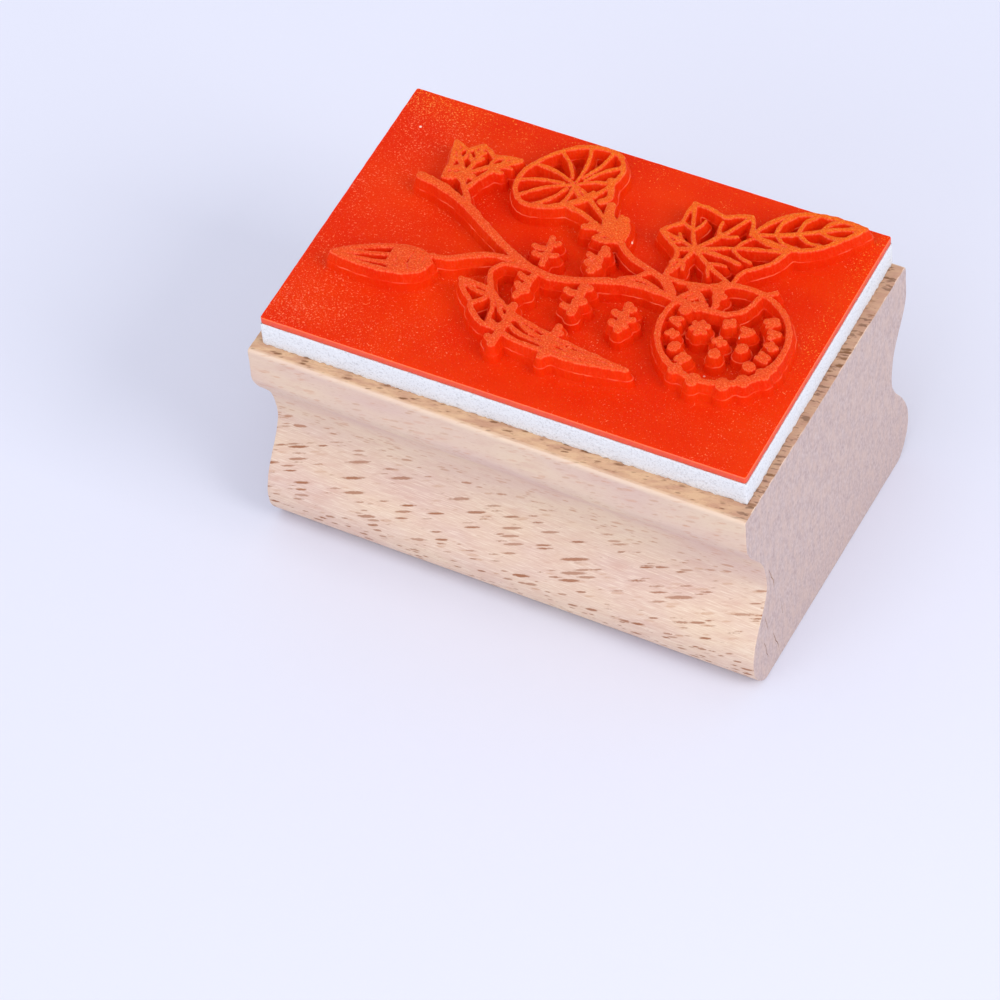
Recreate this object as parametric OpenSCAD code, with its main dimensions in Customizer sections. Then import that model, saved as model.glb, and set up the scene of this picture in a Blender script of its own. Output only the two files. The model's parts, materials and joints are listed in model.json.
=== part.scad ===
// Wood-mounted rubber stamp: moulded block, cushion foam and an engraved rubber die.
// Millimetres. Origin at the centre of the block's palm face, +X along the block, +Z towards the die.

/* [Block] */
// Length of the wooden block along the moulding
block_l = 60; // [40:1:100]
// Width of the wooden block across the moulding
block_w = 40; // [36:1:60]
// Height of the wooden block from palm face to cushion
block_h = 29; // [27:0.5:34]
// How far the finger grooves cut in on each side
groove = 4.1; // [3:0.1:5]
// Width of the flat palm face
palm_w = 34.6; // [30:0.2:37]

/* [Cushion and die] */
// Length of the cushion and the rubber sheet
die_l = 57.4; // [40:0.1:96]
// Width of the cushion and the rubber sheet
die_w = 37.4; // [30:0.1:56]
// Thickness of the cushion foam
foam_t = 3; // [1.5:0.5:5]
// Thickness of each adhesive film
film_t = 0.1; // [0.05:0.05:0.2]
// Thickness of the rubber web behind the raised design
web_t = 0.9; // [0.6:0.1:1.5]
// Height of the raised design above the web
relief_h = 2.5; // [1:0.1:3]
// Height of the wider shoulder that carries each raised line
shoulder_h = 1.2; // [0.5:0.1:1.5]
// How far the shoulder stands out on each side of a line
shoulder = 0.5; // [0.3:0.1:0.7]
// How far the die is glued from the block's centre along X
die_x = -0.5; // [-1:0.1:1]
// How far the die is glued from the block's centre along Y
die_y = 0.75; // [-1:0.05:1]
// Angle at which the die is glued on, a little crooked
die_turn = 0.9; // [-2:0.1:2]

/* [Hidden] */
z_foam = block_h + film_t;
z_film = z_foam + foam_t;
z_web = z_film + film_t;
z_top = z_web + web_t;

wood = [0.87, 0.76, 0.64];
film = [0.93, 0.91, 0.84];
foam = [0.95, 0.95, 0.96];
rubber = [0.85, 0.13, 0.04];

wood_block();
block_adhesive();
foam_cushion();
die_adhesive();
rubber_die();

// ---- the block: one profile, mirrored about the middle, run along X ----

// Half width of the moulding and the depth below the cushion side.
half_profile = let (w = block_w / 2, g = w - groove, h = block_h) [
    [w - 0.3, 0], [w - 0.1, 0.15], [w, 0.6], [w, 4.2], [w - 0.3, 5.4], [w - 1.1, 6.9],
    [w - 2.3, 8.6], [w - 3.3, 10.4], [w - 3.8, 12.2], [g, 14], [g, 15], [w - 3.7, 16.2],
    [w - 3.0, 17.6], [w - 2.0, 19.1], [w - 1.1, 20.6], [w - 0.5, 22], [w - 0.1, 23.4],
    [w - 0.1, 24.8], [w - 0.4, 26.3], [w - 1.0, h - 1.5], [w - 1.8, h - 0.5], [palm_w / 2, h]];

module wood_block() color(wood)
    translate([-block_l / 2, 0, block_h]) rotate([90, 0, 90]) linear_extrude(block_l)
        polygon(concat([for (p = half_profile) [p[0], -p[1]]],
                       [for (i = [len(half_profile) - 1:-1:0]) [-half_profile[i][0], -half_profile[i][1]]]));

// ---- cushion, films and web share one rectangle ----

module on_die(z) translate([die_x, die_y, z]) rotate([0, 0, die_turn]) children();

module sheet(t) translate([-die_l / 2, -die_w / 2, 0]) cube([die_l, die_w, t]);

module block_adhesive() color(film) on_die(block_h) sheet(film_t);
module foam_cushion() color(foam) on_die(z_foam) sheet(foam_t);
module die_adhesive() color(film) on_die(z_film) sheet(film_t);

// ---- the raised design: stems as ribbons, leaves and flowers as solid shapes ----

// A smooth curve through the points, n steps between each two.
function curve(p, n) = let (m = len(p) - 1) concat(
    [for (i = [0:m - 1], k = [0:n - 1])
        let (a = p[max(i - 1, 0)], b = p[i], c = p[i + 1], d = p[min(i + 2, m)], t = k / n)
        0.5 * (2 * b + (c - a) * t + (2 * a - 5 * b + 4 * c - d) * t * t
               + (3 * b - a - 3 * c + d) * t * t * t)], [p[m]]);

function unit(v) = v / norm(v);
// The direction square to the path at point i.
function side(p, i) = let (m = len(p) - 1, v = unit(p[min(i + 1, m)] - p[max(i - 1, 0)])) [-v[1], v[0]];

// A ribbon of width w along the path, narrowed at both ends.
module stroke(p, w, n = 2) {
    c = curve(p, n);
    m = len(c) - 1;
    h = [for (i = [0:m]) w / 2 * (i == 0 || i == m ? 0.4 : 1)];
    polygon(concat([for (i = [0:m]) c[i] + side(c, i) * h[i]],
                   [for (i = [m:-1:0]) c[i] - side(c, i) * h[i]]));
}

// A solid shape round the point c, each outline point moved out by g.
module shape(c, p, g) polygon([for (q = p) c + (q - c) * (1 + g / norm(q - c))]);

module vine(g) stroke([[-21, 4.9], [-14.5, 3.1], [-8, -0.9], [-1.5, -3.1], [5, -1], [10, -0.4], [15, -0.6]], 0.8 + 2 * g);
module bud_stalk(g) stroke([[-15.8, -6.4], [-13, -4.4], [-10, -3], [-7.5, -2.4], [-4.6, -2.3]], 0.6 + 2 * g);
module bloom_stalk(g) stroke([[2, 5], [5, 3], [8, 2.2], [11.5, -0.6]], 0.7 + 2 * g);
module leaf_stalk(g) stroke([[-2.2, -2.9], [-6.5, -3.3], [-7.6, -4.8], [-6.4, -7.2], [-4, -9.4]], 0.6 + 2 * g);

module bud(g) shape([-19, -7.6], [[-24.8, -9.1], [-21, -6.9], [-16.2, -5.2], [-14.2, -6], [-15, -8.2],
    [-18, -9.7], [-21.4, -9.7]], g);

module bloom(g) {
    c = [-6, 11];
    shape(c, [for (i = [0:15]) let (a = i * 22.5, x = 6.2 * cos(a), y = 4 * sin(a))
        c + [x * cos(50) - y * sin(50), x * sin(50) + y * cos(50)]], g);
    stroke([[-4.6, 9], [-1, 7], [1.2, 5.8]], 1.8 + 2 * g);
    shape([1.6, 6.2], [[-0.2, 8.9], [2.4, 7.9], [3.7, 5.8], [3, 4.2], [0.8, 3.9], [-1.2, 4.9]], g);
}

module small_leaf(g) {
    shape([-16.8, 8.6], [[-19.7, 11.1], [-18, 10.4], [-16.6, 11.6], [-15, 10.6], [-11.9, 11.3], [-14.2, 8],
        [-15.6, 5.7], [-18.7, 5.6], [-18.9, 8]], g);
    stroke([[-16.2, 6.6], [-15.6, 4.6], [-14.2, 2.8]], 0.6 + 2 * g);
}

module large_leaf(g) shape([11.6, 7.4], [[9.3, 5.7], [6.6, 7.8], [8, 9.4], [8.2, 12.9], [12.6, 13], [15.4, 13],
    [16.2, 11], [20.4, 9.4], [18.8, 7.2], [17.2, 5.6], [16.8, 3.4], [13.4, 1.2], [9.9, 2], [9.8, 4.8]], g);

module pointed_leaf(g) shape([20, 13.2], [[16.1, 10.9], [16.5, 14.2], [20, 15.9], [26.5, 16.6], [24.4, 13],
    [21.6, 10.9], [19, 10.4]], g);

module long_leaf(g) shape([-3, -11], [[-10.4, -7], [-6, -7.4], [-2.6, -9.4], [2, -10.6], [7, -11.2], [11.8, -12],
    [6, -12.9], [0, -12.9], [-5.4, -12], [-8.4, -9.8]], g);

// A floret: a short stalk with two arms.
module floret(c, turn, g) translate(c) rotate(turn) polygon([for (q = [[0.4, 2], [0.4, 0.3], [1.3, 0.2],
    [1.3, -0.7], [0.5, -0.8], [0.4, -2], [-0.4, -2], [-0.5, -0.7], [-1.3, -0.6], [-1.3, 0.3], [-0.4, 0.4],
    [-0.4, 2]]) q + [sign(q[0]), sign(q[1])] * g]);

// The date ring, with plain dots where a dated stamp has its figures.
module date_ring(g) translate([19.1, -3.3]) {
    difference() {
        circle(r = 7.1 + g, $fn = 48);
        circle(r = 6.5 - g, $fn = 48);
    }
    for (a = [105:36:260]) rotate(a) translate([4.6, 0]) circle(r = 0.5 + g, $fn = 12);
    for (a = [-60:36:60]) rotate(a) translate([4.6, 0]) circle(r = 0.5 + g, $fn = 12);
    for (y = [-1.4, 1.4]) translate([0.3, y]) circle(r = 0.7 + g, $fn = 12);
}

// The height of a part of the design, in two steps: the shoulder and the printing face.
module raised() {
    for (s = [[shoulder_h, shoulder], [relief_h, 0]]) translate([0, 0, web_t - 0.3])
        linear_extrude(s[0] + 0.3) {
            $grow = s[1];
            children();
        }
}

module rubber_die() color(rubber) on_die(z_web) {
    sheet(web_t);
    raised() vine($grow);
    raised() bud_stalk($grow);
    raised() bloom_stalk($grow);
    raised() leaf_stalk($grow);
    raised() bud($grow);
    raised() bloom($grow);
    raised() small_leaf($grow);
    raised() large_leaf($grow);
    raised() pointed_leaf($grow);
    raised() long_leaf($grow);
    raised() for (f = [[-3.3, -0.4, -5], [-3.6, -5.8, 6], [2.3, 1, 8], [2.7, -5.4, 0], [8.4, -5.4, 15]])
        floret([f[0], f[1]], f[2], $grow);
    raised() date_ring($grow);
}
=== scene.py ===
# %% [markdown]
# # A wood-mounted rubber stamp
# The stamp has five parts: a moulded beech block, a cushion of white foam, an engraved sheet of
# orange-red rubber, and the two adhesive films that join them. It stands on its palm face, with
# the raised design up. The CAD model gives the frame: sizes, places and the one motion, the die
# sinking into its foam. Here each part is built again in finer detail and given its real finish.

import json
import math

import bmesh
import bpy
import numpy as np
from mathutils import Matrix, Vector
from mathutils.geometry import delaunay_2d_cdt

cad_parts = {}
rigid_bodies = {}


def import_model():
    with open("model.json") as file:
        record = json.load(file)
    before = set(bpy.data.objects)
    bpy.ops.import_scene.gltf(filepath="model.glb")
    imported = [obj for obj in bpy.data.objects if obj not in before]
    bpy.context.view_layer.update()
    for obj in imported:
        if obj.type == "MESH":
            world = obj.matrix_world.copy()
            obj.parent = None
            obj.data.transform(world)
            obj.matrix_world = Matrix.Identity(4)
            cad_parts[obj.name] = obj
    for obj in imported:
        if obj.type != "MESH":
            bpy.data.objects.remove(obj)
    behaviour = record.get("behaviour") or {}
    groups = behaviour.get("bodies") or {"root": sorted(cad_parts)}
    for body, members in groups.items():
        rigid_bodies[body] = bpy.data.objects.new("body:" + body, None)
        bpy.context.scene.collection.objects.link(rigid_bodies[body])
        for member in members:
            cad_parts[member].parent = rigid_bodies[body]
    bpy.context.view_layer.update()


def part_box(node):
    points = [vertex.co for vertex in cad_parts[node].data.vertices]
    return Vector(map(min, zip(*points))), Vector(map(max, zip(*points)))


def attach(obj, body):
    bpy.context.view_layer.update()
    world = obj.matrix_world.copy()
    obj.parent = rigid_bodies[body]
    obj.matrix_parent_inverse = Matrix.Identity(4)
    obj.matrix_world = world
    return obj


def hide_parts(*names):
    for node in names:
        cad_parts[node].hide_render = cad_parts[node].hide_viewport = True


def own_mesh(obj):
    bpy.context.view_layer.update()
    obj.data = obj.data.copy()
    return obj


for left_over in list(bpy.data.objects):
    bpy.data.objects.remove(left_over)
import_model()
MM = 0.001  # every size below is in millimetres, and this turns it to metres

# %% [markdown]
# ## Colours
# Colours are written as the hex values that a screen shows. The renderer works with linear light,
# so one function converts them.


# %% From a hex colour to linear light
def colour(hex_value):
    """A six-digit sRGB hex string as a linear RGBA colour."""
    parts = [int(hex_value[i : i + 2], 16) / 255 for i in (0, 2, 4)]
    return tuple(c / 12.92 if c <= 0.04045 else ((c + 0.055) / 1.055) ** 2.4 for c in parts) + (1.0,)


print("mid grey 808080 is", [round(v, 3) for v in colour("808080")[:3]])


# %% [markdown]
# ## Camera
# A product photograph of something this small is taken with a long lens from about 0.6 m, which
# keeps parallel edges nearly parallel. The camera looks down at the printing face from the
# right-hand front corner and is tilted a few degrees, so the block's front edge runs downhill.

# %% Camera
CAMERA_AT = Vector((210.28, -367.21, 490.95)) * MM
CAMERA_AIM = Vector((0.77, -21.26, 20.0)) * MM
CAMERA_ROLL = -5.19  # degrees

camera = bpy.data.objects.new("camera", bpy.data.cameras.new("camera"))
bpy.context.scene.collection.objects.link(camera)
look = (CAMERA_AIM - CAMERA_AT).to_track_quat("-Z", "Y")
camera.matrix_world = (
    Matrix.Translation(CAMERA_AT)
    @ look.to_matrix().to_4x4()
    @ Matrix.Rotation(math.radians(CAMERA_ROLL), 4, "Z")
)
camera.data.lens = 208.24
camera.data.sensor_width = 36
camera.data.clip_start, camera.data.clip_end = 0.05, 20
bpy.context.scene.camera = camera
print("camera distance in mm:", round((CAMERA_AT - CAMERA_AIM).length / MM, 1))

# %% [markdown]
# ## Floor and light
# The stamp stands on pale, slightly blue paper under a wide soft light from the right, with a
# bright room around it. The shadows are faint and fall to the left.

# %% Floor
floor_mesh = bpy.data.meshes.new("floor")
FLOOR_HALF = 3.0
floor_mesh.from_pydata(
    [(x * FLOOR_HALF, y * FLOOR_HALF, 0) for x, y in ((-1, -1), (1, -1), (1, 1), (-1, 1))],
    [],
    [(0, 1, 2, 3)],
)
floor = bpy.data.objects.new("floor", floor_mesh)
bpy.context.scene.collection.objects.link(floor)


# %% Light
def softbox(name, at, aim, size, power, tint):
    """A square area light of the given size in metres, turned towards aim."""
    light = bpy.data.objects.new(name, bpy.data.lights.new(name, "AREA"))
    light.data.size = size
    light.data.energy = power
    light.data.color = colour(tint)[:3]
    light.location = at
    light.rotation_euler = (Vector(aim) - Vector(at)).to_track_quat("-Z", "Y").to_euler()
    bpy.context.scene.collection.objects.link(light)
    return light


softbox("key_softbox", (0.85, -0.15, 0.7), (0, 0, 0), 0.5, 4.6, "FFFDFA")
softbox("top_softbox", (0.0, -0.55, 1.2), (0, 0, 0), 0.9, 3.0, "FFFFFF")
softbox("front_softbox", (-0.25, -1.2, 0.30), (0, -0.1, 0), 1.2, 4.6, "FFFFFF")
room = bpy.data.worlds.new("bright_room")
bpy.context.scene.world = room
room.use_nodes = True
room.node_tree.nodes["Background"].inputs["Color"].default_value = colour("F4F6FF")
room.node_tree.nodes["Background"].inputs["Strength"].default_value = 0.80
bpy.context.scene.view_settings.view_transform = "Standard"


# %% [markdown]
# ## Tools for shapes
# Most shapes here start from a smooth line through a few points, and every cut or sanded surface
# is a little uneven. Two helpers do that for all the parts: one runs a curve through points, the
# other gives a smooth random field from a seeded table, so each run gives the same result.


# %% A smooth line through points
def smooth_line(points, step=0.3):
    """Points about step mm apart on a smooth curve through the given ones."""
    p = np.array(points, float)
    p = np.vstack([2 * p[0] - p[1], p, 2 * p[-1] - p[-2]])
    out = []
    for a, b, c, d in zip(p[:-3], p[1:-2], p[2:-1], p[3:]):
        n = max(1, int(round(np.linalg.norm(c - b) / step)))
        t = np.linspace(0, 1, n, endpoint=False)[:, None]
        out.append(
            0.5 * (2 * b + (c - a) * t + (2 * a - 5 * b + 4 * c - d) * t**2 + (3 * b - a - 3 * c + d) * t**3)
        )
    return np.vstack(out + [p[-2:-1]])


# %% A smooth random field
def uneven(x, y, cell, seed):
    """Smooth random values from -1 to 1, with about cell mm between bumps."""
    table = np.random.default_rng(seed).uniform(-1, 1, (256, 256))
    u, v = np.asarray(x) / cell + 1000.0, np.asarray(y) / cell + 1000.0
    i, j = np.floor(u).astype(int), np.floor(v).astype(int)
    a, b = u - i, v - j
    a, b = a * a * (3 - 2 * a), b * b * (3 - 2 * b)
    at = lambda k, m: table[(i + k) % 256, (j + m) % 256]
    return at(0, 0) * (1 - a) * (1 - b) + at(1, 0) * a * (1 - b) + at(0, 1) * (1 - a) * b + at(1, 1) * a * b


# %% A mesh object from points in millimetres
def make_piece(name, points, faces, sharp_angle=35):
    """A smooth-shaded mesh object whose edges stay sharp where faces meet at more than sharp_angle."""
    mesh = bpy.data.meshes.new(name)
    mesh.from_pydata((np.asarray(points) * MM).tolist(), [], [tuple(f) for f in faces])
    mesh.polygons.foreach_set("use_smooth", [True] * len(mesh.polygons))
    mesh.set_sharp_from_angle(angle=math.radians(sharp_angle))
    piece = bpy.data.objects.new(name, mesh)
    bpy.context.scene.collection.objects.link(piece)
    print(name, "has", len(mesh.vertices), "points and", len(mesh.polygons), "faces")
    return piece


def cad_size(node):
    """Lowest and highest corner of a CAD node in millimetres."""
    low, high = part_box(node)
    return np.array(low) / MM, np.array(high) / MM


# %% [markdown]
# ## The beech block
# The block is cut from a strip of beech moulding: a flat flange at the top, a deep groove for the
# fingers on each long side, a rounded bulge below it and a flat palm face. One half of the
# profile is enough, because the other side mirrors it. The profile is run along X, the sawn ends
# get a slightly broken edge, and the end faces are filled as flat sheets with a few real drying
# cracks pushed into them.

# %% The moulding's profile
BLOCK_HIGH = cad_size("wood_block")[1]
BLOCK_TOP = BLOCK_HIGH[2]
HALF_PROFILE = [  # half width, depth below the top
    (0, 0), (9.6, 0), (19.5, 0), (19.6, 0), (19.75, 0.03), (19.88, 0.11), (19.97, 0.25),
    (20, 0.4), (20, 0.5), (20, 1.2), (20, 4.2),
    (19.75, 5.4), (19.0, 6.9), (17.8, 8.6), (16.7, 10.4), (16.15, 12.2), (15.9, 13.8), (15.92, 15.1),
    (16.3, 16.3), (17.0, 17.6), (18.0, 19.1), (18.9, 20.6), (19.5, 22.0), (19.85, 23.4), (19.85, 24.7),
    (19.55, 26.15), (18.85, 27.4), (17.95, 28.45), (17.4, 28.87), (16.9, 29), (8, 29), (0, 29),
]
half = smooth_line(HALF_PROFILE, 0.35)
half = half[np.r_[True, np.linalg.norm(np.diff(half, axis=0), axis=1) > 0.02]]
half[:, 1] = np.clip(half[:, 1], 0, BLOCK_TOP)
half[:, 0] = np.minimum(half[:, 0], BLOCK_HIGH[1])
outline = np.vstack([half, (half * [-1, 1])[-2:0:-1]])  # closed, round the whole block
outline[:, 1] = BLOCK_TOP - outline[:, 1]
FRONT_FULLER = 1.01  # the strip is a fifth of a millimetre fuller in front
outline[:, 0] *= np.where(outline[:, 0] < 0, FRONT_FULLER, 1.0)
waist = half[(half[:, 1] > 9) & (half[:, 1] < 18), 0].min()
print("profile points:", len(outline), "waist half width:", round(waist, 2))

# %% The block's long faces
ARRIS = 0.14  # how far the sawn ends' edges are broken
OUT_OF_SQUARE = 0.28  # the saw leaned half a degree at the right end, so its top edge is shorter
END = BLOCK_HIGH[0]
inward = np.roll(outline, -1, 0) - np.roll(outline, 1, 0)
inward = np.stack([inward[:, 1], -inward[:, 0]], 1) / np.linalg.norm(inward, axis=1)[:, None]
along = np.concatenate(
    [
        [-END, -END + 0.04, -END + ARRIS],
        np.linspace(-END + 0.6, END - 0.6, 90),
        [END - ARRIS, END - 0.04, END],
    ]
)
inset = np.zeros(len(along))
inset[[0, -1]], inset[[1, -2]] = ARRIS, ARRIS * 0.35
path = np.r_[0, np.cumsum(np.linalg.norm(np.diff(outline, axis=0), axis=1))]
rings = []
for x, cut in zip(along, inset):
    fuzz = 0.03 * uneven(path, x + 0 * path, 0.4, 11) if cut > 0 else 0
    wave = 0.03 * uneven(path, x + 0 * path, 7.0, 12)
    flat = (outline[:, 1] < 0.01) | (outline[:, 1] > BLOCK_TOP - 0.01)
    shift = np.maximum(cut + fuzz + np.where(flat, 0, 0.02 + wave), 0)
    yz = outline + inward * shift[:, None]
    lean = -OUT_OF_SQUARE * (x > 0) * (x / END) ** 20 * (yz[:, 1] / BLOCK_TOP)
    rings.append(np.column_stack([x + lean, yz]))
block_points = [np.vstack(rings)]
n = len(outline)
quads = []
for r in range(len(along) - 1):
    a = np.arange(n) + r * n
    b = np.roll(np.arange(n), -1) + r * n
    quads.append(np.stack([a, b, b + n, a + n], 1))
block_faces = np.vstack(quads).tolist()


# %% The sawn ends, with their drying cracks
def end_face(ring, cracks):
    """Triangles that fill a ring of YZ points; each crack is (y, z, length, lean in degrees, width)."""
    flat_points = [Vector(p) for p in ring]
    edges = [(i, (i + 1) % len(ring)) for i in range(len(ring))]
    bottoms = []
    for y, z, length, lean, width in cracks:
        d = np.array([math.sin(math.radians(lean)), -math.cos(math.radians(lean))])
        s = np.array([d[1], -d[0]])
        t = np.linspace(-1, 1, 15)
        bend = 0.12 * length * uneven(t * length, 0 * t + y, length / 3, 21)
        mid = np.array([y, z]) + np.outer(t * length / 2, d) + np.outer(bend * 0.25, s)
        half_gap = width / 2 * np.sqrt(np.maximum(1 - t**2, 0))
        rim = np.vstack([mid + np.outer(half_gap, s), (mid - np.outer(half_gap, s))[-2:0:-1]])
        start = len(flat_points)
        flat_points += [Vector(p) for p in rim]
        edges += [(start + i, start + (i + 1) % len(rim)) for i in range(len(rim))]
        first = len(flat_points)
        flat_points += [Vector(p) for p in mid[1:-1]]
        edges += [(first + i, first + i + 1) for i in range(len(mid) - 3)]
        bottoms += range(first, len(flat_points))
    whole_ring = [list(range(len(ring)))]
    points, _, triangles, origin, _, _ = delaunay_2d_cdt(flat_points, edges, whole_ring, 1, 1e-6)
    sunk = np.array([any(o in bottoms for o in came) for came in origin])
    return np.array([tuple(p) for p in points]), triangles, sunk, origin


CRACK_DEPTH = 0.5
RIGHT_CRACKS = [(-14.9, 14.6, 4.4, 14, 0.13), (-16.6, 8.6, 3.4, 10, 0.09), (-17.0, 4.6, 3.6, 12, 0.11),
                (-14.6, 3.6, 4.2, 16, 0.12), (-12.8, 7.0, 2.0, 8, 0.07)]
LEFT_CRACKS = [(12.5, 6.2, 3.6, -12, 0.10), (14.8, 8.8, 2.6, -9, 0.07), (-6.5, 24.2, 2.8, 6, 0.07)]
total = len(block_points[0])
for ring_at, cracks, outward in ((len(along) - 1, RIGHT_CRACKS, 1), (0, LEFT_CRACKS, -1)):
    ring = rings[ring_at]
    cap, triangles, sunk, origin = end_face(ring[:, 1:], cracks)
    index = []
    extra = []
    for k, came in enumerate(origin):
        on_ring = [o for o in came if o < n]
        if on_ring:
            index.append(ring_at * n + on_ring[0])
        else:
            index.append(total + len(extra))
            x = END * outward - (OUT_OF_SQUARE * cap[k][1] / BLOCK_TOP if outward > 0 else 0)
            extra.append([x - outward * (CRACK_DEPTH if sunk[k] else 0), *cap[k]])
    block_points.append(np.array(extra))
    total += len(extra)
    block_faces += [[index[i] for i in tri] for tri in triangles]
beech_block = make_piece("beech_block", np.vstack(block_points), block_faces, 28)

# %% Faces turned outwards, and the block joined to the frame
def outward_faces(piece):
    """Turns every face's normal outwards."""
    work = bmesh.new()
    work.from_mesh(piece.data)
    bmesh.ops.recalc_face_normals(work, faces=work.faces)
    work.to_mesh(piece.data)
    open_edges = sum(1 for e in work.edges if len(e.link_faces) != 2)
    work.free()
    print(piece.name, "open edges:", open_edges)


outward_faces(beech_block)
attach(beech_block, "block")
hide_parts("wood_block")

# %% [markdown]
# ## Where the die sits
# Cushion, films and rubber are cut as one sandwich and pressed on by hand, so they sit half a
# millimetre off the block's middle and not quite straight. All of them are drawn in the die's own
# plan, with its centre at 0, 0, and one function moves that plan onto the block.

# %% From the die's plan to the block
DIE_L, DIE_W = 57.4, 37.4
DIE_AT = np.array([-0.5, 0.75])
DIE_TURN = math.radians(0.9)
FOAM_Z = cad_size("foam_cushion")[0][2], cad_size("foam_cushion")[1][2]
WEB_Z = cad_size("rubber_die")[0][2]
WEB_T = 0.9
WEB_TOP = WEB_Z + WEB_T
RELIEF = cad_size("rubber_die")[1][2] - WEB_TOP


def onto_block(points):
    """Die plan points (x, y, z) moved to where the die is glued."""
    p = np.array(points, float)
    c, s = math.cos(DIE_TURN), math.sin(DIE_TURN)
    p[:, :2] = p[:, :2] @ np.array([[c, s], [-s, c]]) + DIE_AT
    return p


def round_rectangle(length, width, radius, step):
    """Points round a rectangle with small round corners, anticlockwise, and their outward directions."""
    points, outs = [], []
    hx, hy = length / 2 - radius, width / 2 - radius
    for k, (cx, cy) in enumerate([(hx, hy), (-hx, hy), (-hx, -hy), (hx, -hy)]):
        for a in np.linspace(0, math.pi / 2, 4):
            out = np.array([math.cos(a + k * math.pi / 2), math.sin(a + k * math.pi / 2)])
            points.append(np.array([cx, cy]) + radius * out)
            outs.append(out)
        nxt = [(-hx, hy), (-hx, -hy), (hx, -hy), (hx, hy)][k]
        out = np.array([math.cos((k + 1) * math.pi / 2), math.sin((k + 1) * math.pi / 2)])
        m = int(round(np.hypot(nxt[0] - cx, nxt[1] - cy) / step))
        for t in np.linspace(0, 1, m + 1)[1:-1]:
            points.append(np.array([cx, cy]) * (1 - t) + np.array(nxt) * t + radius * out)
            outs.append(out)
    return np.array(points), np.array(outs)


print("foam from", [round(z, 2) for z in FOAM_Z], "web top", round(WEB_TOP, 2), "relief", round(RELIEF, 2))

# %% [markdown]
# ## The foam cushion
# Stamp cushion is a fine-celled white foam, about 3 mm thick. The knife leaves its sides nearly
# square but opens the cells, so they are pitted, and the lower edge is a little torn where the
# blade came out against the block. The sides are a fine grid of points, each moved in or out by a
# few hundredths of a millimetre.

# %% Foam
SHEET_SHIFT = np.array([0.1, -0.1])  # the knife ran a tenth nearer the right and front edges
FOAM_SPREAD = 0.4  # the foam swells past the rubber all round, in length and in width
LIP_INSET = 0.42  # how far in the lips reach that close over the films' edges
foam_plan, foam_out = round_rectangle(DIE_L + FOAM_SPREAD, DIE_W + FOAM_SPREAD, 0.25, 0.16)
foam_plan = foam_plan + 1.5 * SHEET_SHIFT
levels = np.linspace(0, 1, 19)
foam_rings = [np.column_stack([foam_plan - LIP_INSET * foam_out, np.full(len(foam_plan), FOAM_Z[0])])]
run = np.r_[0, np.cumsum(np.linalg.norm(np.diff(foam_plan, axis=0), axis=1))]
for level in levels:
    z = FOAM_Z[0] - 0.09 + level * (FOAM_Z[1] - FOAM_Z[0] + 0.17)
    cells = 0.03 * uneven(run, z + 0 * run, 0.25, 31) + 0.015 * uneven(run, z + 0 * run, 0.8, 32)
    pits = -0.08 * np.clip(uneven(run, z + 0 * run, 0.4, 33) - 0.8, 0, 1) / 0.2
    torn = -np.abs(uneven(run, 0 * run, 0.5, 34)) * 0.14 * max(0, 1 - level / 0.08) ** 1.5
    rounded = -0.06 * max(0, (level - 0.93) / 0.07) ** 2
    off = np.minimum(cells + pits - 0.04, 0.02) + torn + rounded
    lift = 0.015 * np.clip(uneven(run, 0 * run, 0.9, 35), 0, 1) * (level == 0)
    foam_rings.append(np.column_stack([foam_plan + foam_out * off[:, None], np.full(len(run), z) + lift]))
foam_rings.append(np.column_stack([foam_plan - LIP_INSET * foam_out, np.full(len(foam_plan), FOAM_Z[1])]))
m = len(foam_plan)
foam_faces = [
    (r * m + i, r * m + (i + 1) % m, (r + 1) * m + (i + 1) % m, (r + 1) * m + i)
    for r in range(len(foam_rings) - 1)
    for i in range(m)
]
foam_faces += [list(range(m))[::-1], [(len(foam_rings) - 1) * m + i for i in range(m)]]
foam_pad = make_piece("foam_pad", onto_block(np.vstack(foam_rings)), foam_faces, 50)
outward_faces(foam_pad)
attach(foam_pad, "block")
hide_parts("foam_cushion")


# %% [markdown]
# ## The adhesive films
# Each face of the foam carries a double-sided film a tenth of a millimetre thick. It is cut a
# little inside the foam's edge, which leaves the fine dark line seen where foam meets wood.

# %% Films
FILM_INSET = 0.22


def film(name, node, body):
    """A thin sheet in place of a CAD film, a little smaller than the foam."""
    low, high = cad_size(node)
    plan, out = round_rectangle(DIE_L - 2 * FILM_INSET, DIE_W - 2 * FILM_INSET, 0.3, 0.8)
    around = np.r_[0, np.cumsum(np.linalg.norm(np.diff(plan, axis=0), axis=1))]
    plan = plan + out * 0.06 * uneven(around, 0 * around, 1.5, 41)[:, None]
    k = len(plan)
    points = np.vstack([np.column_stack([plan, np.full(k, z)]) for z in (low[2], high[2])])
    faces = [(i, (i + 1) % k, k + (i + 1) % k, k + i) for i in range(k)]
    faces += [list(range(k))[::-1], list(range(k, 2 * k))]
    piece = make_piece(name, onto_block(points), faces)
    outward_faces(piece)
    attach(piece, body)
    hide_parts(node)
    return piece


lower_film = film("lower_film", "block_adhesive", "block")
upper_film = film("upper_film", "die_adhesive", "die")

# %% [markdown]
# ## The design on the die
# The design is drawn as a set of lines, each a centre line with a width that changes along it.
# It is a plain climbing plant: a stem with a bud, an open bloom, leaves and small sprigs, and a
# round date mark that holds dots and bars in place of figures. Leaves and blooms follow simple
# rules, such as veins that run from one point to each tip.

# %% Collecting lines
LINES = []  # each: points (n, 2) in mm, half widths (n)
LINE = 0.43  # width of a fine line of the design


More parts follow.
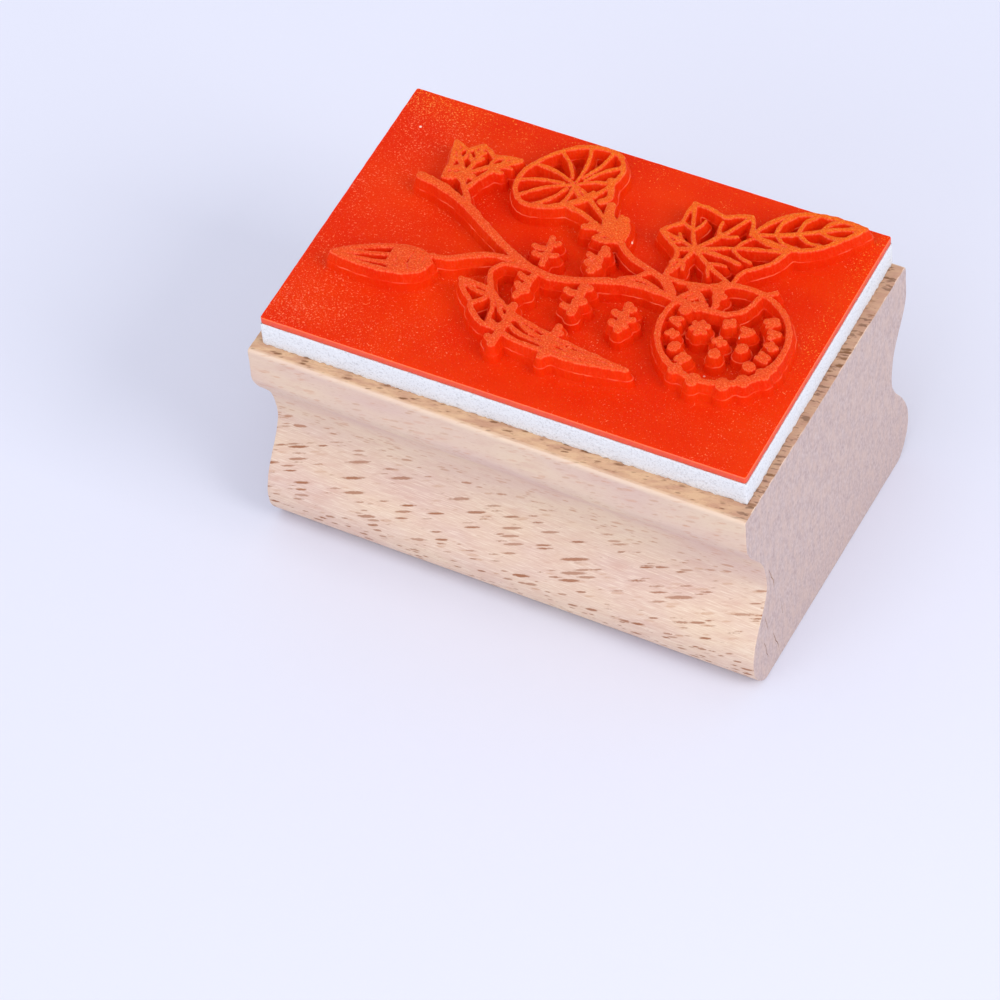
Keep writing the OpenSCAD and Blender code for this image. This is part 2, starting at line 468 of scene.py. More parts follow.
def draw(points, width=LINE, end_width=None, straight=False):
    """Adds a line; its width may change evenly to end_width."""
    path = np.array(points, float) if straight else smooth_line(points, 0.25)
    widths = np.linspace(width, width if end_width is None else end_width, len(path))
    number = len(LINES)
    widths = widths * (1 + 0.16 * uneven(np.arange(len(path)) * 0.25, number + 0 * widths, 1.1, 51))
    LINES.append((path, widths / 2))
    return path


def between(a, b, bend=0.0, width=LINE, end_width=None):
    """A line from a to b that bows sideways by bend times its length."""
    a, b = np.array(a, float), np.array(b, float)
    side = np.array([a[1] - b[1], b[0] - a[0]])
    return draw([a, (a + b) / 2 + bend * side, b], width, end_width)


# %% Stems
draw([(-21, 4.9), (-18, 4.3), (-14.5, 2.9), (-11.5, 1.1), (-8, -0.9), (-5, -2.35), (-1.6, -3.1), (1.5, -2.4),
      (4.5, -1.2), (7.5, -0.5), (11, -0.55), (15, -0.9), (18.4, -0.6)], 1.0, 0.62)
draw([(-14.6, -5.4), (-12.6, -4.9), (-10.2, -3.4), (-8.2, -2.6), (-5.4, -2.5), (-3, -3.0)], 0.6, 0.6)
draw([(3.2, 4.6), (5, 3.1), (7.5, 2.2), (9.6, 1.4), (11.6, -0.3)], 0.65, 0.6)
draw([(5.6, -0.4), (7.0, 0.35), (8.8, 0.2), (10.6, -0.5)], 0.5)
draw([(7.0, 0.3), (7.6, 1.2), (8.3, 2.0)], 0.5)
print("stem lines:", len(LINES))


# %% Bud
def bud(base, tip, half_width, folds):
    """A closed bud: a spindle from base to tip, with folds that wind round it and a scaly cup."""
    base, tip = np.array(base), np.array(tip)
    axis = (tip - base) / np.linalg.norm(tip - base)
    side = np.array([-axis[1], axis[0]])
    length = np.linalg.norm(tip - base)
    s = np.linspace(0, 1, 12)
    belly = half_width * np.sin(math.pi * s**0.62) ** 0.8
    for sign in (1, -1):
        draw(base + np.outer(s * length, axis) + np.outer(sign * belly, side), 0.5)
    for k in range(folds):
        start = 0.30 + 0.06 * k
        f = np.linspace(start, 0.97, 8)
        sway = (2 * (k + 0.9) / (folds + 0.6) - 1) * np.sin(math.pi * f**0.62) ** 0.8 * half_width
        draw(base + np.outer(f * length, axis) + np.outer(sway * (0.75 + 0.3 * f), side), 0.45, 0.3)
    for k in range(9):  # the cup's scales, close enough to print almost solid
        f = 0.04 + 0.042 * k
        w = half_width * math.sin(math.pi * f**0.62) ** 0.8
        a = base + axis * f * length
        tilt = axis * 0.8 * (0.5 + 0.5 * uneven(k * 1.7, 0.0, 1.0, 52))
        draw([a + side * w, a + tilt + side * w * 0.2, a - side * w * 0.9], 0.42)


bud((-14.2, -6.3), (-24.8, -9.0), 1.8, 2)
print("with the bud:", len(LINES))


# %% Open bloom
def bloom(throat, centre, long_half, short_half, turn, pleats, open_from, open_to):
    """A trumpet bloom seen from the side: a scalloped rim and pleats that run to its throat."""
    a = np.radians(np.linspace(open_from, open_to, 90))
    lobe = 1 - 0.025 * np.abs(np.sin(np.linspace(0, math.pi * pleats / 2, 90)))
    x, y = long_half * lobe * np.cos(a), short_half * lobe * np.sin(a)
    c, s = math.cos(math.radians(turn)), math.sin(math.radians(turn))
    rim = np.stack([x * c - y * s, x * s + y * c], 1) + centre
    draw(rim, 0.46, straight=True)
    for k in range(pleats):
        at = rim[int((k + 0.5) / pleats * 89)]
        reach = 0.94 if k % 2 else 0.8
        inner_end = np.array(at) * (1 - reach) + np.array(throat) * reach
        between(at, inner_end, 0.06 * (1 if k < pleats / 2 else -1), 0.4, 0.3)
    return rim


throat = np.array([-4.9, 10.3])
rim = bloom(throat, (-6.0, 11.0), 6.35, 4.0, 50, 11, 0, 360)
draw([(-2.5, 9.9), (-3.2, 8.6), (-4.6, 7.2), (-5.9, 6.3)], 0.5)
draw([(-4.9, 10.0), (-3.9, 9.0), (-3.0, 8.3)], 0.42)
draw([(-4.6, 7.1), (-2.4, 6.7), (-0.6, 6.0), (1.0, 5.3)], 0.55)
draw([(-2.7, 9.0), (-1.2, 7.9), (0.2, 6.9), (1.0, 6.2)], 0.45)
for base, tip, bend in (((3.1, 4.7), (0.1, 9.0), 0.22), ((3.1, 4.7), (1.9, 7.9), 0.12),
                        ((3.0, 4.6), (-1.3, 5.0), -0.14), ((2.9, 4.6), (0.4, 3.9), 0.1),
                        ((3.2, 4.9), (3.0, 7.1), -0.1)):
    between(base, tip, bend, 0.8, 0.4)
draw([(0.1, 8.9), (0.5, 7.6), (1.2, 6.6), (2.2, 5.6)], 0.9, 1.5)
draw([(2.5, 7.6), (2.4, 6.6), (2.6, 5.6)], 0.9, 1.2)
draw([(-0.6, 5.6), (0.8, 5.3), (2.2, 5.0)], 0.8, 1.2)
draw([(-1.5, 12.2), (-0.9, 10.9), (-0.6, 9.8), (-1.2, 9.0)], 0.9, 0.7)
draw([(-1.2, 5.0), (0.3, 5.5), (1.6, 5.7), (2.8, 5.2)], 0.65)
draw([(0.6, 4.2), (1.4, 4.8), (2.4, 4.4)], 0.5)
print("with the bloom:", len(LINES))


# %% Leaves
def leaf(hub, tips, dips, side_veins, width=LINE):
    """A lobed leaf: its edge runs from tip to dip to tip, and a vein runs from the hub to each tip."""
    hub = np.array(hub, float)
    for i, tip in enumerate(tips):
        tip = np.array(tip, float)
        beside = ([dips[i - 1]] if i else []) + ([dips[i]] if i < len(dips) else [])
        for dip in beside:
            dip = np.array(dip, float)
            mid = (tip + dip) / 2
            out = mid - hub
            draw([tip, mid + 0.06 * out / np.linalg.norm(out) * np.linalg.norm(tip - dip), dip], width)
        between(hub, tip - 0.06 * (tip - hub), 0.03 * (-1) ** i, width, width * 0.85)
        for k in range(side_veins):
            f = 0.42 + 0.24 * k
            root = hub + f * (tip - hub)
            for sign in (1, -1):
                c, s = math.cos(sign * 0.75), math.sin(sign * 0.75)
                d = (tip - hub) @ np.array([[c, s], [-s, c]])
                between(root, root + d * (0.26 - 0.07 * k), 0.08 * sign, width * 0.8, width * 0.6)


leaf((-16.7, 7.0), [(-11.9, 11.1), (-16.6, 11.6), (-19.7, 11.0), (-18.7, 5.7)],
     [(-14.9, 10.5), (-17.9, 10.2), (-18.8, 7.9)], 2, 0.5)
draw([(-11.9, 11.1), (-13.6, 9.3), (-14.9, 7.2), (-15.5, 5.4)], 0.55)
draw([(-18.2, 7.2), (-17.4, 7.6), (-16.4, 6.9), (-15.7, 6.9)], 0.7)
draw([(-18.7, 5.7), (-17.6, 6.3), (-16.5, 5.9), (-15.4, 4.6), (-14.2, 2.9)], 0.5)
draw([(-16.7, 7.0), (-16.2, 5.6), (-15.2, 4.2)], 0.6)
leaf((11.1, 6.7), [(20.5, 10.2), (14.9, 13.4), (8.3, 12.8), (6.7, 7.8)],
     [(15.9, 11.0), (12.2, 12.2), (8.2, 9.6)], 1)
leaf((11.1, 6.7), [(9.8, 1.9), (16.9, 3.4)], [(13.2, 2.0)], 1)
draw([(6.7, 7.8), (8.2, 6.7), (9.4, 5.9)])
draw([(11.1, 6.7), (10.2, 6.3), (9.4, 5.9), (9.7, 5.2), (9.75, 3.6), (9.8, 1.9)])
draw([(20.5, 10.2), (19.6, 8.0), (18.0, 6.4), (17.2, 5.4), (16.9, 3.4)])
between((9.8, 1.9), (11.8, -0.2), 0.05)
between((11.1, 6.7), (16.4, 6.6), 0.04)
print("with the leaves:", len(LINES))


# %% Pointed leaf
def blade(base, tip, half_width, veins, width=LINE):
    """A plain pointed leaf: two edges, a midrib and pairs of curved side veins."""
    base, tip = np.array(base, float), np.array(tip, float)
    span = tip - base
    side = np.array([-span[1], span[0]]) / np.linalg.norm(span)
    s = np.linspace(0, 1, 14)
    belly = half_width * np.sin(math.pi * s**0.85)
    for sign in (1, -1):
        draw(base + np.outer(s, span) + np.outer(sign * belly, side), width)
    draw([base, base + 0.35 * span - 0.25 * side, base + 0.7 * span + 0.1 * side, tip], width)
    for k in range(veins):
        f = 0.2 + 0.6 * k / veins
        for sign in (1, -1):
            g = min(f + 0.2, 0.95)
            edge = base + g * span + sign * side * half_width * math.sin(math.pi * g**0.85) * 0.95
            between(base + f * span - 0.1 * side, edge, 0.14 * sign, width * 0.85)


blade((16.0, 11.0), (26.9, 16.6), 2.65, 3, 0.46)

# %% Long folded leaf along the lower edge
draw([(-3.6, -2.95), (-5.6, -3.0), (-7.0, -3.5), (-7.6, -4.7), (-7.2, -6.0), (-6.2, -7.4),
      (-4.6, -8.5), (-2.6, -9.5), (0, -10.2), (3.4, -10.9), (7, -11.4), (11.9, -12.0)], 0.5, 0.42)
draw([(-6.4, -7.3), (-8.2, -7.1), (-10.2, -7.0)], 0.5)
draw([(-10.2, -7.0), (-9.2, -8.4), (-7.9, -9.5), (-7.2, -10.6), (-5.4, -11.9), (-3.4, -12.1),
      (-1.0, -12.8), (2.4, -12.95), (6, -13.0), (9.4, -12.5), (11.9, -12.0)], 0.5, 0.42)
draw([(-10.0, -7.2), (-8.2, -7.9), (-6.2, -8.1)])
draw([(-6.2, -7.6), (-6.7, -8.8), (-7.6, -9.8)])
draw([(-6.0, -7.8), (-5.2, -9.4), (-5.0, -10.6), (-4.6, -11.9)])
draw([(-5.6, -7.9), (-4.2, -9.6), (-2.6, -10.9), (-0.6, -11.8), (2.6, -12.2)])
draw([(-2.2, -9.9), (-0.4, -10.9), (1.6, -11.4), (4.0, -11.7)])
draw([(2.0, -12.2), (4.6, -12.4), (7.4, -12.3), (9.8, -12.2)])
draw([(3.0, -11.4), (5.4, -11.9), (8.0, -11.9)])
print("with the long leaf:", len(LINES))


# %% Sprigs
def sprig(x, y, height, lean, arms, width=0.75):
    """A short upright twig with stubby rounded arms; arms are (share of height, side, length)."""
    c, s = math.cos(math.radians(lean)), math.sin(math.radians(lean))
    turn = np.array([[c, s], [-s, c]])
    place = lambda q: np.array(q) @ turn + (x, y)
    draw([place((0, height / 2)), place((0.12, 0)), place((0, -height / 2))], width, width)
    for share, sign, length in arms:
        root = place((0, height * (0.5 - share)))
        knee = place((sign * length * 0.6, height * (0.5 - share) - 0.08))
        draw([root, knee, place((sign * length, height * (0.5 - share) + 0.12))], width * 0.95, width * 0.85)


sprig(-3.4, 0.2, 4.0, 8, [(0.2, 1, 0.9), (0.42, -1, 1.6), (0.68, -1, 1.2), (0.62, 1, 1.2)], 0.62)
sprig(-3.4, -5.2, 3.6, -10, [(0.25, -1, 1.4), (0.6, -1, 0.8), (0.7, 1, 0.6)], 0.8)
sprig(2.2, 1.2, 3.4, -3, [(0.2, 1, 0.5), (0.45, -1, 1.2), (0.75, -1, 0.9), (0.8, 1, 0.5)], 0.85)
sprig(2.6, -4.6, 4.4, 6, [(0.16, 1, 0.8), (0.38, -1, 1.5), (0.62, 1, 0.8), (0.86, -1, 1.2)], 0.85)
sprig(8.3, -5.3, 3.6, 6, [(0.15, 1, 0.7), (0.4, -1, 1.1), (0.55, 1, 1.1), (0.8, -1, 0.9), (0.85, 1, 0.6)],
      0.85)
sprig(-3.1, -11.3, 5.8, 2, [(0.3, 1, 0.6), (0.55, -1, 1.3), (0.88, -1, 0.8)], 0.85)
sprig(2.6, -11.5, 4.6, 0, [(0.2, 1, 0.6), (0.5, -1, 0.8), (0.85, 1, 0.7)], 0.85)
sprig(14.0, 0.9, 2.4, 60, [(0.3, 1, 0.8), (0.6, -1, 0.9)], 0.6)
sprig(16.3, 1.7, 3.2, 12, [(0.35, -1, 0.7), (0.6, 1, 0.6)], 0.6)
print("with the sprigs:", len(LINES))

# %% Date mark
RING_AT = np.array([19.1, -3.25])
RING_R = 7.0
turns = np.radians(np.linspace(0, 360, 121))
draw(RING_AT + RING_R * np.stack([np.cos(turns), np.sin(turns)], 1), 0.58, straight=True)
for k in range(3):  # the ring is cut wider at its lower right, where the line is smudged
    a = np.radians(np.linspace(-62 + 16 * k, -6 - 12 * k, 30))
    r = RING_R + 0.2 + 0.26 * k
    draw(RING_AT + r * np.stack([np.cos(a), np.sin(a)], 1), 0.42, straight=True)
for degrees, reach in ((-112, 0.15), (-92, 0.3), (-66, 0.35), (-48, 0.3), (-30, 0.45)):  # lumps on its wall
    a = math.radians(degrees)
    ray = np.array([math.cos(a), math.sin(a)])
    draw([RING_AT + RING_R * ray, RING_AT + (RING_R + reach) * ray], 1.5, 1.3, straight=True)


def mark(x, y, turn, kind):
    """One generic sign about 1.5 mm across: a pair of bars, a ring, a wedge or a cross."""
    c, s = math.cos(math.radians(turn)), math.sin(math.radians(turn))
    place = lambda q: np.array(q) @ np.array([[c, s], [-s, c]]) + (x, y)
    round_path = [(0.4 * math.cos(t), 0.34 * math.sin(t)) for t in np.linspace(0, 2 * math.pi, 9)]
    strokes = {
        "pair": [((-0.5, 0.34), (0.5, 0.28)), ((-0.5, -0.34), (0.5, -0.28))],
        "ring": list(zip(round_path[:-1], round_path[1:])),
        "wedge": [((-0.46, 0.42), (0.46, 0.05)), ((0.46, -0.05), (-0.46, -0.42))],
        "cross": [((-0.52, 0.05), (0.52, -0.05)), ((0.1, -0.42), (-0.1, 0.42))],
    }[kind]
    for a, b in strokes:
        draw([place(a), place(b)], 0.58, straight=True)


for kind, angle in (("ring", 163), ("wedge", 182), ("cross", 202), ("ring", 222), ("pair", 242),
                    ("pair", 40), ("wedge", 22), ("cross", 4), ("pair", -15), ("ring", -35)):
    x, y = RING_AT + 5.45 * np.array([math.cos(math.radians(angle)), math.sin(math.radians(angle))])
    mark(x, y, angle, kind)
for x, y, turn, kind in ((19.1, -1.6, 70, "cross"), (21.4, -2.0, 20, "wedge"), (19.2, -4.4, 10, "cross"),
                         (19.4, -6.2, 60, "ring"), (21.8, -4.4, 70, "ring"), (15.2, -0.6, 30, "wedge")):
    mark(x, y, turn, kind)
for k in range(3):
    a = math.radians(30 + 60 * k)
    p = 0.85 * np.array([math.cos(a), math.sin(a)])
    draw([np.array([16.4, -3.4]) + p, np.array([16.4, -3.4]) - p], 0.6, straight=True)
draw([(16.9, 3.3), (16.1, 2.2), (16.0, 1.3), (16.5, 0.4)], 0.45)
draw([(21.9, 4.3), (20.6, 3.2), (20.2, 1.6), (19.4, 0.2), (17.9, -0.7)], 0.45)
print("lines in all:", len(LINES), "total length in mm:",
      round(sum(np.linalg.norm(np.diff(p, axis=0), axis=1).sum() for p, _ in LINES)))

# %% [markdown]
# ## From lines to relief
# A laser cuts away the rubber around the lines in two passes, so each line stands on a wider
# shoulder: a sloping upper wall, a small step half-way down, a steeper lower wall and a fillet at
# the web. The height therefore depends only on how far a point is from the nearest line. That
# distance is worked out on a fine grid. Lines of equal distance, like contours on a map, are
# traced from it and joined by triangles, which keeps the thin tops crisp with few faces.

# %% Distance from the nearest line
GRID = 0.06
gx = np.arange(-DIE_L / 2 - 1, DIE_L / 2 + 1, GRID)
gy = np.arange(-DIE_W / 2 - 1, DIE_W / 2 + 1, GRID)
REACH = 1.3
gap = np.full((len(gy), len(gx)), REACH)
for path, halves in LINES:
    for a, b, wa, wb in zip(path[:-1], path[1:], halves[:-1], halves[1:]):
        low, high = np.minimum(a, b) - REACH - 0.6, np.maximum(a, b) + REACH + 0.6
        i0, i1 = np.searchsorted(gx, [low[0], high[0]])
        j0, j1 = np.searchsorted(gy, [low[1], high[1]])
        if i0 >= i1 or j0 >= j1:
            continue
        X, Y = np.meshgrid(gx[i0:i1], gy[j0:j1])
        d = b - a
        t = np.clip(((X - a[0]) * d[0] + (Y - a[1]) * d[1]) / max(d @ d, 1e-9), 0, 1)
        dist = np.hypot(X - a[0] - t * d[0], Y - a[1] - t * d[1]) - (wa + t * (wb - wa))
        gap[j0:j1, i0:i1] = np.minimum(gap[j0:j1, i0:i1], dist)
GX, GY = np.meshgrid(gx, gy)
gap = gap + 0.05 * uneven(GX, GY, 0.34, 61) + 0.045 * uneven(GX, GY, 0.9, 62)
print("grid:", gap.shape, "printing area in mm2:", round((gap < 0).sum() * GRID**2, 1))

# %% Height of the relief at a distance
WALL = [  # distance in mm, share of the relief's height
    (-0.10, 1.0), (-0.02, 0.985), (0.04, 0.94), (0.16, 0.77), (0.38, 0.5), (0.47, 0.475),
    (0.56, 0.13), (0.66, 0.035), (0.84, 0.0),
]


def height_at(distance):
    """Relief height in mm at a distance from the nearest line."""
    return RELIEF * np.interp(distance, [d for d, _ in WALL], [h for _, h in WALL])


def gap_at(p):
    """The distance field at points, read between grid points."""
    u, v = (p[:, 0] - gx[0]) / GRID, (p[:, 1] - gy[0]) / GRID
    i, j = np.clip(u.astype(int), 0, len(gx) - 2), np.clip(v.astype(int), 0, len(gy) - 2)
    a, b = u - i, v - j
    lower = gap[j, i] * (1 - a) * (1 - b) + gap[j, i + 1] * a * (1 - b)
    return lower + gap[j + 1, i] * (1 - a) * b + gap[j + 1, i + 1] * a * b


# %% Contour lines of the distance field
def contours(level):
    """Closed loops where the field equals level."""
    f = gap - level
    f[f == 0] = 1e-9
    up = f > 0
    wide = len(gx)
    across, upright = up[:, :-1] != up[:, 1:], up[:-1] != up[1:]
    shift = f.size
    links = {}

    def link(a, b):
        links.setdefault(a, []).append(b)
        links.setdefault(b, []).append(a)

    busy = across[:-1] | across[1:] | upright[:, :-1] | upright[:, 1:]
    for j, i in np.argwhere(busy):
        sides = []
        if across[j, i]:
            sides.append(j * wide + i)
        if upright[j, i + 1]:
            sides.append(shift + j * wide + i + 1)
        if across[j + 1, i]:
            sides.append((j + 1) * wide + i)
        if upright[j, i]:
            sides.append(shift + j * wide + i)
        if len(sides) == 2:
            link(*sides)
        elif len(sides) == 4:
            middle = f[j : j + 2, i : i + 2].mean() > 0
            if middle == up[j, i]:
                link(sides[0], sides[1]), link(sides[2], sides[3])
            else:
                link(sides[3], sides[0]), link(sides[1], sides[2])

    def point(side):
        if side < shift:
            j, i = divmod(side, wide)
            t = f[j, i] / (f[j, i] - f[j, i + 1])
            return gx[i] + t * GRID, gy[j]
        j, i = divmod(side - shift, wide)
        t = f[j, i] / (f[j, i] - f[j + 1, i])
        return gx[i], gy[j] + t * GRID

    loops, seen = [], set()
    for start in links:
        if start in seen:
            continue
        loop, at = [], start
        while at is not None and at not in seen:
            seen.add(at)
            loop.append(point(at))
            at = next((k for k in links[at] if k not in seen), None)
        loops.append(np.array(loop))
    return loops


def even_steps(loop, step):
    """A closed loop with its points spread evenly, after a light smoothing."""
    for _ in range(2):
        loop = (np.roll(loop, 1, 0) + 2 * loop + np.roll(loop, -1, 0)) / 4
    closed = np.vstack([loop, loop[:1]])
    length = np.r_[0, np.cumsum(np.linalg.norm(np.diff(closed, axis=0), axis=1))]
    count = max(6, int(round(length[-1] / step)))
    at = np.linspace(0, length[-1], count, endpoint=False)
    return np.stack([np.interp(at, length, closed[:, k]) for k in (0, 1)], 1), length[-1]


plan_points, plan_edges, plan_z = [], [], []
for distance, share in WALL:
    step = 0.13 if distance <= 0.1 else 0.16
    for loop in contours(distance):
        if len(loop) < 8:
            continue
        even, length = even_steps(loop, step)
        if length < 0.5:
            continue
        start = len(plan_points)
        plan_points += even.tolist()
        plan_z += [RELIEF * share] * len(even)
        plan_edges += [(start + k, start + (k + 1) % len(even)) for k in range(len(even))]
print("contour points:", len(plan_points))

# %% Extra points for narrow valleys and for the open web
def grid_points(across, up):
    """Every pair of one value from across and one from up, as points."""
    return np.stack(np.meshgrid(across, up), -1).reshape(-1, 2)


fine = grid_points(np.arange(gx[0] + 0.5, gx[-1] - 0.5, 0.2), np.arange(gy[0] + 0.5, gy[-1] - 0.5, 0.2))
fine += 0.03 * np.stack([uneven(fine[:, 0], fine[:, 1], 0.21, seed) for seed in (63, 64)], 1)
here = gap_at(fine)
slope_x, slope_y = [gap_at(fine + d) - gap_at(fine - np.array(d)) for d in ((0.12, 0), (0, 0.12))]
slope = np.hypot(slope_x, slope_y) / 0.24
inside = (np.abs(fine[:, 0]) < DIE_L / 2 - 0.3) & (np.abs(fine[:, 1]) < DIE_W / 2 - 0.3)
valley = fine[inside & (here > 0.06) & (here < 0.8) & (slope < 0.7)]
open_web = grid_points(np.arange(-28, 28.1, 1.0), np.arange(-18, 18.1, 1.0))
open_web = open_web[gap_at(open_web) > 1.0]
rim_plan, rim_out = round_rectangle(DIE_L + 0.04, DIE_W + 0.04, 0.2, 0.5)
rim_plan = rim_plan + SHEET_SHIFT
first_rim = len(plan_points)
for extra in (rim_plan, valley, open_web):
    plan_points += extra.tolist()
    plan_z += height_at(gap_at(extra)).tolist()
plan_edges += [(first_rim + k, first_rim + (k + 1) % len(rim_plan)) for k in range(len(rim_plan))]
print("valley points:", len(valley), "web points:", len(open_web), "rim points:", len(rim_plan))

# %% Triangles between the contours
flat_points = [Vector(p) for p in plan_points]
points, _, triangles, origin, _, _ = delaunay_2d_cdt(flat_points, plan_edges, [], 0, 1e-5)
points = np.array([tuple(p) for p in points])
z = np.array([plan_z[came[0]] if came else -1.0 for came in origin])
new = z < 0
z[new] = height_at(gap_at(points[new]))
on_rim = {}
for k, came in enumerate(origin):
    for o in came:
        if first_rim <= o < first_rim + len(rim_plan):
            on_rim[o - first_rim] = k
print("triangles:", len(triangles), "points made at crossings:", int(new.sum()))

# %% The rubber sheet: top, sides and underside
top_z = WEB_TOP + z
top_z[list(on_rim.values())] = WEB_TOP
top = np.column_stack([points, top_z])
count = len(top)
k = len(rim_plan)
around = np.r_[0, np.cumsum(np.linalg.norm(np.diff(rim_plan, axis=0), axis=1))]
side_rows = []
for out, depth in ((0.05, 0.03), (0.08, 0.1), (0.08, 0.35), (0.08, 0.6), (0.08, WEB_T)):
    level = depth + 0 * around
    wander = 0.02 * uneven(around, level, 1.2, 65) + 0.012 * uneven(around, level, 0.5, 66)
    row = rim_plan + rim_out * (out - 0.02 + wander)[:, None]
    side_rows.append(np.column_stack([row, np.full(k, WEB_TOP - depth)]))
sheet_points = np.vstack([top] + side_rows)
sheet_faces = [tuple(t) for t in triangles]
upper = [on_rim[i] for i in range(k)]
for r in range(len(side_rows)):
    lower = [count + r * k + i for i in range(k)]
    sheet_faces += [(upper[i], lower[i], lower[(i + 1) % k], upper[(i + 1) % k]) for i in range(k)]
    upper = lower
sheet_faces.append(tuple(upper))
rubber_sheet = make_piece("rubber_sheet", onto_block(sheet_points), sheet_faces, 33)
outward_faces(rubber_sheet)
rubber_sheet.data.set_sharp_from_angle(angle=math.radians(33))
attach(rubber_sheet, "die")
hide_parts("rubber_die")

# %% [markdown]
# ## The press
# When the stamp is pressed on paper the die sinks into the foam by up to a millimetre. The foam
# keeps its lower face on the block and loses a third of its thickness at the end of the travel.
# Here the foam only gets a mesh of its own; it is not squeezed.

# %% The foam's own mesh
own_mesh(foam_pad)


# %% [markdown]
# ## Tools for materials
# A procedural material is a small network of nodes. One helper adds a node, sets it up and links
# it, so that each finish below reads as a list of steps.


# %% Adding a node
def add(tree, kind, inputs=(), **settings):
    """A node of that kind. Its inputs are given in order or by name, each a value, a socket or a node;
    a node stands for its first output."""
    made = tree.nodes.new("ShaderNode" + kind)
    for name, value in settings.items():
        setattr(made, name, value)
    for socket, value in inputs.items() if isinstance(inputs, dict) else enumerate(inputs):
        if isinstance(value, bpy.types.Node):
            value = next(o for o in value.outputs if o.enabled)
        if isinstance(value, bpy.types.NodeSocket):
            tree.links.new(value, made.inputs[socket])
        else:
            made.inputs[socket].default_value = value
    return made


def new_material(name):
    """An empty node material and its Principled shader."""
    material = bpy.data.materials.new(name)
    material.use_nodes = True
    return material, material.node_tree, material.node_tree.nodes["Principled BSDF"]


def give(piece, material):
    """Puts the material on the piece."""
    piece.data.materials.clear()
    piece.data.materials.append(material)


# %% [markdown]
# ### Paper
# Smooth uncoated paper in a cool white. It only has to be plain and pale.

# %% Paper material
paper, tree, shader = new_material("cool_white_paper")
shader.inputs["Base Color"].default_value = colour("DFE1EF")
shader.inputs["Roughness"].default_value = 0.9
shader.inputs["Specular IOR Level"].default_value = 0.1
give(floor, paper)

# %% [markdown]
# ### Beech
# Beech is a pale pinkish-brown wood. Its mark is the ray fleck: short dark dashes, 1 to 3 mm
# long, that lie along the fibres. This strip was cut with the fibres at an angle to its length,
# so the dashes lean. Planed faces also carry very fine lines along the strip from the cutters.
# Cut ends are greyer and show only a fine mottle. The flat top, which takes the adhesive, is a
# more golden tan, partly its own finish and partly painted shade from the foam above it. A painted
# highlight runs as a pale line along the rounded long edges of the top.

# %% Beech material
beech, tree, shader = new_material("beech_planed_and_sanded")
place = add(tree, "TexCoord")
mm = add(tree, "Mapping", {"Vector": place.outputs["Object"], "Scale": (1000, 1000, 1000)})
level_turn = add(tree, "Mapping", {"Vector": mm.outputs["Vector"], "Rotation": (0, 0, math.radians(-13))})
fibres = add(
    tree, "Mapping",
    {"Vector": level_turn.outputs["Vector"], "Rotation": (0, math.radians(14.5), 0)},
)
xyz = add(tree, "SeparateXYZ", {"Vector": mm.outputs["Vector"]})
normal = add(tree, "SeparateXYZ", {"Vector": place.outputs["Normal"]})


def clouds(vector, stretch, detail=2.0, rough=0.5):
    """Soft random clouds; stretch is how many per mm along each axis."""
    scaled = add(tree, "Mapping", {"Vector": vector, "Scale": stretch})
    return add(
        tree, "TexNoise",
        {"Vector": scaled.outputs["Vector"], "Scale": 1.0, "Detail": detail, "Roughness": rough},
    ).outputs["Fac"]


def flecks(length, thickness, smallest, largest, offset):
    """Dashes along the fibres: up to 1 inside a dash, 0 outside. Sizes are mm between dash centres."""
    stretched = add(
        tree, "Mapping",
        {
            "Vector": fibres.outputs["Vector"],
            "Location": (offset, offset, offset),
            "Scale": (1 / length, 1 / thickness, 1 / thickness),
        },
    )
    jitter = add(tree, "TexNoise", {"Vector": mm.outputs["Vector"], "Scale": 2.2, "Detail": 2.0})
    moved = add(tree, "VectorMath", {0: jitter.outputs["Color"], 1: (0.5, 0.5, 0.5)}, operation="SUBTRACT")
    small = add(tree, "VectorMath", {0: moved.outputs[0], "Scale": 0.22}, operation="SCALE")
    where = add(tree, "VectorMath", {0: stretched.outputs["Vector"], 1: small.outputs[0]}, operation="ADD")
    cell = add(tree, "TexVoronoi", {"Vector": where.outputs[0], "Scale": 1.0})
    pick = add(tree, "SeparateXYZ", {"Vector": cell.outputs["Color"]})
    size = add(tree, "MapRange", [pick.outputs["X"], 0.1, 1.0, smallest, largest])
    edge = add(tree, "Math", [size, cell.outputs["Distance"]], operation="SUBTRACT")
    return add(
        tree, "Math",
        [
            add(tree, "MapRange", [edge, 0.0, 0.12]),
            add(tree, "MapRange", [pick.outputs["Y"], 0.0, 1.0, 0.6, 1.0]),
        ],
        operation="MULTIPLY",
    )


long_dashes = flecks(6.2, 0.68, 0.14, 0.38, 0.0)
short_dashes = flecks(4.2, 0.50, 0.05, 0.37, 7.3)
dashes = add(tree, "Math", [long_dashes, short_dashes], operation="MAXIMUM")
faint_dashes = flecks(3.4, 0.6, 0.05, 0.36, 11.9)
pores = flecks(2.6, 0.42, 0.0, 0.30, 3.1)
lower_part = add(tree, "MapRange", [xyz.outputs["Z"], 12.0, 18.0, 1.0, 0.0])
ledge = add(
    tree, "Math",
    [
        add(tree, "MapRange", [normal.outputs["Z"], 0.85, 0.97]),
        add(tree, "MapRange", [xyz.outputs["Z"], 28.0, 28.6]),
    ],
    operation="MULTIPLY",
)
side_y = add(tree, "Math", {0: xyz.outputs["Y"]}, operation="ABSOLUTE").outputs[0]
clear_lower = add(
    tree, "Math",
    [add(tree, "MapRange", [lower_part, 0.0, 1.0, 0.42, 0.95]), ledge],
    operation="MAXIMUM",
)

